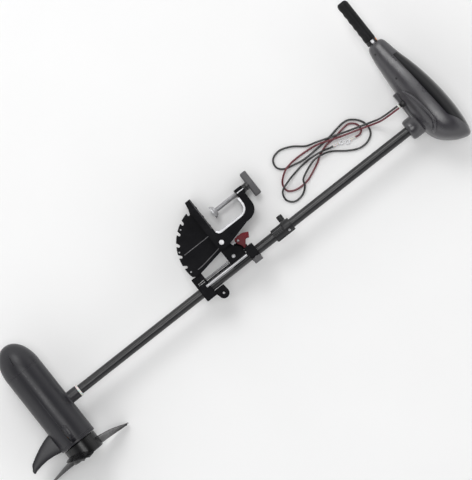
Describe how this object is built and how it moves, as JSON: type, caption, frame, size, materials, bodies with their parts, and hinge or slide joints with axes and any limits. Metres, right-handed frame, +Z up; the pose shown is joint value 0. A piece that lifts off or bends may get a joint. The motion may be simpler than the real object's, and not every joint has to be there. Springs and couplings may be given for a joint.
{
  "type": "transom-mount electric trolling motor",
  "caption": "Electric outboard lying on its side: motor pod with propeller and skeg, long shaft, tilting clamp bracket, tiller head with twist grip, and loose battery lead.",
  "frame": {"origin": "centre of the bounding box's footprint, on the surface the motor lies on", "axes": "+X along the shaft from the motor to the control head, +Y towards the tiller grip, +Z up from the surface"},
  "size_m": [1.3962, 0.5007, 0.214],
  "materials": {
    "black_casting": "satin",
    "motor_paint": "satin",
    "nose_plastic": "satin",
    "shaft_black": "satin",
    "head_plastic": "satin",
    "gloss_black": "gloss",
    "prop_plastic": "gloss",
    "bright_steel": "satin",
    "grey_plastic": "matte",
    "red_plastic": "satin",
    "black_plastic": "satin",
    "grip_rubber": "matte",
    "nylon": "satin",
    "iron": "satin",
    "copper": "satin",
    "carbon": "matte",
    "magnet": "matte",
    "seal_rubber": "matte",
    "red_wire": "satin",
    "black_wire": "satin"
  },
  "bodies": {
    "clamp": {"transom_bracket": "black_casting", "quadrant_near": "black_casting", "quadrant_far": "black_casting", "tilt_bolt": "bright_steel"},
    "swivel": {"swivel_block": "black_casting", "hinge_block": "black_casting", "tie_rod_near": "bright_steel", "tie_rod_far": "bright_steel", "friction_collar": "black_casting", "lever_post": "bright_steel", "lock_spring": "bright_steel"},
    "lever": {"release_lever": "red_plastic"},
    "lock": {"lock_rod": "bright_steel"},
    "pinch": {"friction_knob": "grey_plastic"},
    "bushes": {"upper_bush": "nylon", "lower_bush": "nylon"},
    "shaft": {"shaft_tube": "shaft_black", "inner_cable": "black_wire", "motor_housing": "motor_paint", "nose_cone": "nose_plastic", "rear_end_cap": "motor_paint", "collar_ring": "bright_steel", "magnet_upper": "magnet", "magnet_lower": "magnet", "rear_bearing": "bright_steel", "front_bearing": "bright_steel", "shaft_seal": "seal_rubber", "nose_o_ring": "seal_rubber", "brush_plate": "nylon", "brush_left": "carbon", "brush_right": "carbon", "through_bolt_1": "bright_steel", "through_bolt_2": "bright_steel", "skeg_fin": "motor_paint", "head_housing": "head_plastic", "head_cover": "gloss_black", "speed_switch": "black_plastic", "cable_gland": "black_plastic", "battery_lead_red": "red_wire", "battery_lead_black": "black_wire", "ring_terminal_red": "nylon", "ring_terminal_black": "nylon"},
    "collar": {"depth_collar": "black_plastic"},
    "collar_knob": {"depth_knob": "black_plastic"},
    "rotor": {"motor_shaft": "bright_steel", "drive_pin": "bright_steel", "armature_core": "iron", "armature_winding": "copper", "commutator": "copper", "propeller": "prop_plastic", "prop_nut": "bright_steel"},
    "grip": {"twist_grip": "grip_rubber", "speed_dial": "grey_plastic", "tiller_tube": "bright_steel"},
    "pad_near": {"clamp_pad_near": "bright_steel"},
    "screw_near": {"clamp_screw_near": "bright_steel", "clamp_handle_near": "grey_plastic"},
    "pad_far": {"clamp_pad_far": "bright_steel"},
    "screw_far": {"clamp_screw_far": "bright_steel", "clamp_handle_far": "grey_plastic"}
  },
  "joints": [
    {"name": "tilt", "type": "hinge", "parent": "clamp", "child": "swivel", "pos_m": [0.02815, -0.0359, 0.076], "axis": [0, 0, 1], "range_deg": [-90, 0]},
    {"name": "lever", "type": "hinge", "parent": "swivel", "child": "lever", "pos_m": [0.0624, -0.0579, 0.076], "axis": [0, 0, 1], "range_deg": [0, 25]},
    {"name": "lock", "type": "slide", "parent": "swivel", "child": "lock", "axis": [1, 0, 0], "range_m": [0, 0.012], "deforming": ["lock_spring"]},
    {"name": "pinch_knob", "type": "hinge", "parent": "swivel", "child": "pinch", "pos_m": [0.0739, -0.1059, 0.1045], "axis": [0, 1, 0], "range_deg": [0, 360]},
    {"name": "steer", "type": "hinge", "parent": "swivel", "child": "bushes", "pos_m": [0, -0.1059, 0.076], "axis": [1, 0, 0], "range_deg": [-180, 180]},
    {"name": "depth", "type": "slide", "parent": "bushes", "child": "shaft", "axis": [1, 0, 0], "range_m": [-0.015, 0.3]},
    {"name": "collar_slide", "type": "slide", "parent": "shaft", "child": "collar", "axis": [1, 0, 0], "range_m": [-0.025, 0.35]},
    {"name": "collar_knob", "type": "hinge", "parent": "collar", "child": "collar_knob", "pos_m": [0.1799, -0.1059, 0.076], "axis": [0, 1, 0], "range_deg": [0, 360]},
    {"name": "prop_spin", "type": "hinge", "parent": "shaft", "child": "rotor", "pos_m": [-0.5606, -0.1059, 0.076], "axis": [0, 1, 0], "continuous": true},
    {"name": "grip_twist", "type": "hinge", "parent": "shaft", "child": "grip", "pos_m": [0.6324, 0.15, 0.076], "axis": [0, 1, 0], "range_deg": [-60, 150]},
    {"name": "pad_slide_near", "type": "slide", "parent": "clamp", "child": "pad_near", "axis": [1, 0, 0], "range_m": [0, 0.045]},
    {"name": "screw_turn_near", "type": "hinge", "parent": "pad_near", "child": "screw_near", "pos_m": [0.1, 0.0361, 0.1352], "axis": [1, 0, 0], "range_deg": [0, 6480]},
    {"name": "pad_slide_far", "type": "slide", "parent": "clamp", "child": "pad_far", "axis": [1, 0, 0], "range_m": [0, 0.045]},
    {"name": "screw_turn_far", "type": "hinge", "parent": "pad_far", "child": "screw_far", "pos_m": [0.1, 0.0361, 0.0168], "axis": [1, 0, 0], "range_deg": [0, 6480]}
  ],
  "couplings": [
    {"joint": "lever", "follows": "lock", "rad_per_m": 36.36},
    {"joint": "screw_turn_near", "follows": "pad_slide_near", "rad_per_m": 2513.3},
    {"joint": "screw_turn_far", "follows": "pad_slide_far", "rad_per_m": 2513.3}
  ]
}
